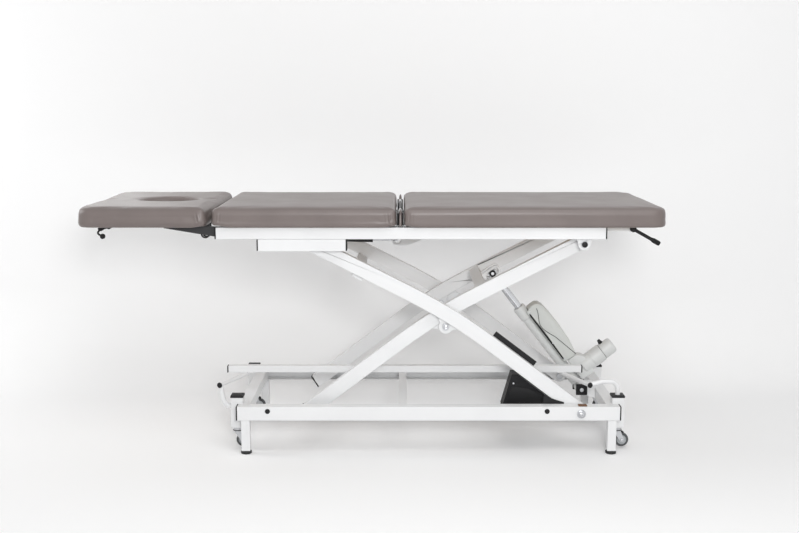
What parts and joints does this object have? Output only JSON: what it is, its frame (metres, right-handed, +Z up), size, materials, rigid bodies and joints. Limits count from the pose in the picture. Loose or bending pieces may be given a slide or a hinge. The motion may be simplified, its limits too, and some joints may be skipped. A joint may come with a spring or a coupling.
{
  "type": "treatment table",
  "caption": "Electric height-adjustable treatment couch: padded head, middle and long main sections on a scissor lift with a linear actuator, level feet and castors lowered by a foot bar.",
  "frame": {"origin": "on the floor under the middle of the couch", "axes": "+X along the couch from the head end to the foot end, +Y towards the far long side, +Z up"},
  "size_m": [1.997, 0.6478, 0.8673],
  "materials": {
    "white": "satin white powder coat",
    "black": "satin black powder coat",
    "plastic": "fine matt black",
    "rubber": "matt",
    "zinc": "zinc plated",
    "grey": "light grey, fine grain",
    "vinyl": "taupe upholstery vinyl, soft grain",
    "ply": "sanded plywood"
  },
  "bodies": {
    "base": {"base_frame": "white", "actuator_bracket": "white", "actuator_foot_pin": "zinc", "base_guard": "plastic", "foot_near_left": "rubber", "foot_near_right": "rubber", "foot_far_left": "rubber", "foot_far_right": "rubber", "lower_pivot_bolt_near": "zinc", "lower_pivot_bolt_far": "zinc"},
    "outer_arms": {"outer_arm_near": "white", "outer_arm_far": "white", "centre_bolt_near": "zinc", "centre_bolt_far": "zinc", "arm_guard": "plastic", "outer_arm_tie": "white"},
    "inner_arms": {"inner_arms": "white"},
    "upper_rollers": {"upper_roller_near": "plastic", "upper_roller_far": "plastic"},
    "lower_rollers": {"lower_roller_near": "plastic", "lower_roller_far": "plastic"},
    "actuator": {"actuator_tube": "grey", "actuator_shell": "grey", "actuator_motor": "grey"},
    "actuator_rod": {"actuator_rod": "zinc", "actuator_eye_pin": "zinc"},
    "top": {"top_frame": "white", "upper_pivot_bolt_near": "zinc", "upper_pivot_bolt_far": "zinc", "middle_board": "ply", "middle_cushion": "vinyl", "head_hinge_pin": "zinc", "main_hinge_pin": "zinc"},
    "head": {"head_arms": "black", "head_board": "ply", "head_cushion": "vinyl"},
    "face_plug": {"face_plug": "vinyl"},
    "head_lever": {"head_release_lever": "plastic"},
    "head_spring": {"head_spring_cylinder": "black"},
    "head_spring_rod": {"head_spring_rod": "zinc"},
    "main": {"main_board": "ply", "main_cushion": "vinyl", "main_frame": "white"},
    "main_lever": {"main_release_lever": "plastic"},
    "main_spring": {"main_spring_cylinder": "black"},
    "main_spring_rod": {"main_spring_rod": "zinc"},
    "castor_lift": {"foot_bar": "white", "castor_carrier_left": "zinc", "castor_carrier_right": "zinc"},
    "castor_near_left": {"castor_fork_near_left": "zinc"},
    "wheel_near_left": {"castor_wheel_near_left": "rubber"},
    "castor_near_right": {"castor_fork_near_right": "zinc"},
    "wheel_near_right": {"castor_wheel_near_right": "rubber"},
    "castor_far_left": {"castor_fork_far_left": "zinc"},
    "wheel_far_left": {"castor_wheel_far_left": "rubber"},
    "castor_far_right": {"castor_fork_far_right": "zinc"},
    "wheel_far_right": {"castor_wheel_far_right": "rubber"}
  },
  "joints": [
    {"name": "lift", "type": "hinge", "parent": "base", "child": "outer_arms", "pos_m": [0.725, 0, 0.146], "axis": [0, 1, 0], "range_deg": [-20, 3]},
    {"name": "inner_arms_turn", "type": "hinge", "parent": "outer_arms", "child": "inner_arms", "pos_m": [0.2545, 0, 0.4416], "axis": [0, 1, 0], "range_deg": [-6.5, 40.5]},
    {"name": "top_level", "type": "hinge", "parent": "inner_arms", "child": "top", "pos_m": [0.725, 0, 0.7372], "axis": [0, 1, 0], "range_deg": [-20.5, 3.5]},
    {"name": "upper_rollers_spin", "type": "hinge", "parent": "outer_arms", "child": "upper_rollers", "pos_m": [-0.216, 0, 0.7372], "axis": [0, 1, 0], "continuous": true},
    {"name": "lower_rollers_spin", "type": "hinge", "parent": "inner_arms", "child": "lower_rollers", "pos_m": [-0.216, 0, 0.146], "axis": [0, 1, 0], "continuous": true},
    {"name": "actuator_swing", "type": "hinge", "parent": "base", "child": "actuator", "pos_m": [0.768, 0, 0.162], "axis": [0, 1, 0], "range_deg": [-25.3, 4.22]},
    {"name": "actuator_stroke", "type": "slide", "parent": "actuator", "child": "actuator_rod", "axis": [-0.6102, 0, 0.7923], "range_m": [-0.1469, 0.0237]},
    {"name": "head_tilt", "type": "hinge", "parent": "top", "child": "head", "pos_m": [-0.515, 0, 0.7765], "axis": [0, 1, 0], "range_deg": [-70, 10]},
    {"name": "head_spring_swing", "type": "hinge", "parent": "top", "child": "head_spring", "pos_m": [-0.36, 0, 0.746], "axis": [0, 1, 0], "range_deg": [-26.4, 4.2]},
    {"name": "head_spring_stroke", "type": "slide", "parent": "head_spring", "child": "head_spring_rod", "axis": [-0.9999, 0, -0.0157], "range_m": [-0.0777, 0.0128]},
    {"name": "face_plug_lift", "type": "slide", "parent": "head", "child": "face_plug", "axis": [0, 0, 1], "range_m": [0, 0.09]},
    {"name": "head_lever_pull", "type": "hinge", "parent": "head", "child": "head_lever", "pos_m": [-0.915, -0.2, 0.7897], "axis": [0, 1, 0], "range_deg": [0, 12], "stiffness_Nm_per_rad": 1.5, "springref_deg": -5.73},
    {"name": "main_tilt", "type": "hinge", "parent": "top", "child": "main", "pos_m": [0.0955, 0, 0.842], "axis": [0, -1, 0], "range_deg": [0, 60]},
    {"name": "main_spring_swing", "type": "hinge", "parent": "top", "child": "main_spring", "pos_m": [-0.15, 0, 0.722], "axis": [0, -1, 0], "range_deg": [-0.5, 8.3]},
    {"name": "main_spring_stroke", "type": "slide", "parent": "main_spring", "child": "main_spring_rod", "axis": [0.9998, 0, -0.0192], "range_m": [-0.002, 0.1224]},
    {"name": "main_lever_pull", "type": "hinge", "parent": "main", "child": "main_lever", "pos_m": [0.895, -0.2503, 0.787], "axis": [0, -1, 0], "range_deg": [0, 12], "stiffness_Nm_per_rad": 1.5, "springref_deg": -5.73},
    {"name": "castor_lower", "type": "slide", "parent": "base", "child": "castor_lift", "axis": [0, 0, -1], "range_m": [0, 0.02]},
    {"name": "castor_swivel_near_left", "type": "hinge", "parent": "castor_lift", "child": "castor_near_left", "pos_m": [-0.48, -0.224, 0.0687], "axis": [0, 0, 1], "continuous": true},
    {"name": "wheel_spin_near_left", "type": "hinge", "parent": "castor_near_left", "child": "wheel_near_left", "pos_m": [-0.462, -0.224, 0.031], "axis": [0, 1, 0], "continuous": true},
    {"name": "castor_swivel_near_right", "type": "hinge", "parent": "castor_lift", "child": "castor_near_right", "pos_m": [0.864, -0.224, 0.0687], "axis": [0, 0, 1], "continuous": true},
    {"name": "wheel_spin_near_right", "type": "hinge", "parent": "castor_near_right", "child": "wheel_near_right", "pos_m": [0.882, -0.224, 0.031], "axis": [0, 1, 0], "continuous": true},
    {"name": "castor_swivel_far_left", "type": "hinge", "parent": "castor_lift", "child": "castor_far_left", "pos_m": [-0.48, 0.224, 0.0687], "axis": [0, 0, 1], "continuous": true},
    {"name": "wheel_spin_far_left", "type": "hinge", "parent": "castor_far_left", "child": "wheel_far_left", "pos_m": [-0.462, 0.224, 0.031], "axis": [0, 1, 0], "continuous": true},
    {"name": "castor_swivel_far_right", "type": "hinge", "parent": "castor_lift", "child": "castor_far_right", "pos_m": [0.864, 0.224, 0.0687], "axis": [0, 0, 1], "continuous": true},
    {"name": "wheel_spin_far_right", "type": "hinge", "parent": "castor_far_right", "child": "wheel_far_right", "pos_m": [0.882, 0.224, 0.031], "axis": [0, 1, 0], "continuous": true}
  ],
  "couplings": [
    {"joint": "inner_arms_turn", "follows": "lift", "ratio": -2},
    {"joint": "top_level", "follows": "lift", "ratio": 1},
    {"joint": "actuator_swing", "follows": "lift", "ratio": 1.24},
    {"joint": "actuator_stroke", "follows": "lift", "m_per_rad": 0.415},
    {"joint": "head_spring_swing", "follows": "head_tilt", "ratio": 0.37},
    {"joint": "head_spring_stroke", "follows": "head_tilt", "m_per_rad": 0.062},
    {"joint": "main_spring_swing", "follows": "main_tilt", "ratio": 0.13},
    {"joint": "main_spring_stroke", "follows": "main_tilt", "m_per_rad": 0.115}
  ]
}
